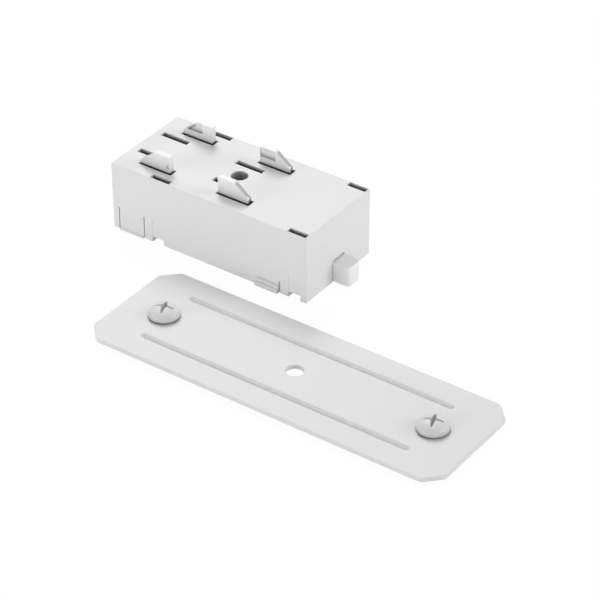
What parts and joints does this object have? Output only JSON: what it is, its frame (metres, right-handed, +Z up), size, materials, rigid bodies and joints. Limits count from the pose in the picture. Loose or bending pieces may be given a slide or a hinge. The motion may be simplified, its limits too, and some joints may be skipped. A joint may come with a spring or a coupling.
{
  "type": "lighting track connector",
  "caption": "White contact block with sprung blades in its top and a sprung locking key in its end, with a beaded steel joining plate and its clamp screws beside it.",
  "frame": {"origin": "where the axis of the block's through bore meets the plane on which block and plate rest", "axes": "+X along the block towards its locking key, +Y to the rear away from the plate, +Z up along the bore, the way the blades stand"},
  "size_m": [0.1257, 0.0715, 0.0235],
  "materials": {
    "white_moulding": "satin",
    "carrier_moulding": "satin",
    "copper": "bright",
    "contact_metal": "plated",
    "spring_steel": "bright",
    "white_coated_plate": "satin",
    "white_coated_screw": "satin"
  },
  "bodies": {
    "block": {"housing": "white_moulding", "base_cover": "white_moulding", "contact_carrier": "carrier_moulding", "busbar_front": "copper", "busbar_rear": "copper", "contact_spring_front_left": "spring_steel", "contact_spring_rear_left": "spring_steel", "contact_spring_front_centre": "spring_steel", "contact_spring_rear_centre": "spring_steel", "key_spring": "spring_steel", "joining_plate": "white_coated_plate"},
    "blade_front_left": {"contact_blade_front_left": "white_moulding", "contact_strip_front_left": "contact_metal"},
    "blade_rear_left": {"contact_blade_rear_left": "white_moulding", "contact_strip_rear_left": "contact_metal"},
    "blade_front_centre": {"contact_blade_front_centre": "white_moulding", "contact_strip_front_centre": "contact_metal"},
    "blade_rear_centre": {"contact_blade_rear_centre": "white_moulding", "contact_strip_rear_centre": "contact_metal"},
    "key": {"locking_key": "white_moulding"},
    "screw_left": {"clamp_screw_left": "white_coated_screw"},
    "screw_right": {"clamp_screw_right": "white_coated_screw"}
  },
  "joints": [
    {"name": "blade_front_left_press", "type": "slide", "parent": "block", "child": "blade_front_left", "axis": [0, 0, -1], "range_m": [0, 0.004], "stiffness_N_per_m": 500, "springref_m": -0.004, "deforming": ["contact_spring_front_left"]},
    {"name": "blade_rear_left_press", "type": "slide", "parent": "block", "child": "blade_rear_left", "axis": [0, 0, -1], "range_m": [0, 0.004], "stiffness_N_per_m": 500, "springref_m": -0.004, "deforming": ["contact_spring_rear_left"]},
    {"name": "blade_front_centre_press", "type": "slide", "parent": "block", "child": "blade_front_centre", "axis": [0, 0, -1], "range_m": [0, 0.004], "stiffness_N_per_m": 500, "springref_m": -0.004, "deforming": ["contact_spring_front_centre"]},
    {"name": "blade_rear_centre_press", "type": "slide", "parent": "block", "child": "blade_rear_centre", "axis": [0, 0, -1], "range_m": [0, 0.004], "stiffness_N_per_m": 500, "springref_m": -0.004, "deforming": ["contact_spring_rear_centre"]},
    {"name": "key_push", "type": "slide", "parent": "block", "child": "key", "axis": [-1, 0, 0], "range_m": [0, 0.0036], "stiffness_N_per_m": 400, "springref_m": -0.004, "deforming": ["key_spring"]},
    {"name": "screw_left_turn", "type": "hinge", "parent": "block", "child": "screw_left", "pos_m": [0.0069, -0.0401, 0.0025], "axis": [0, 0, 1], "continuous": true},
    {"name": "screw_right_turn", "type": "hinge", "parent": "block", "child": "screw_right", "pos_m": [0.0841, -0.0401, 0.0025], "axis": [0, 0, 1], "continuous": true}
  ]
}
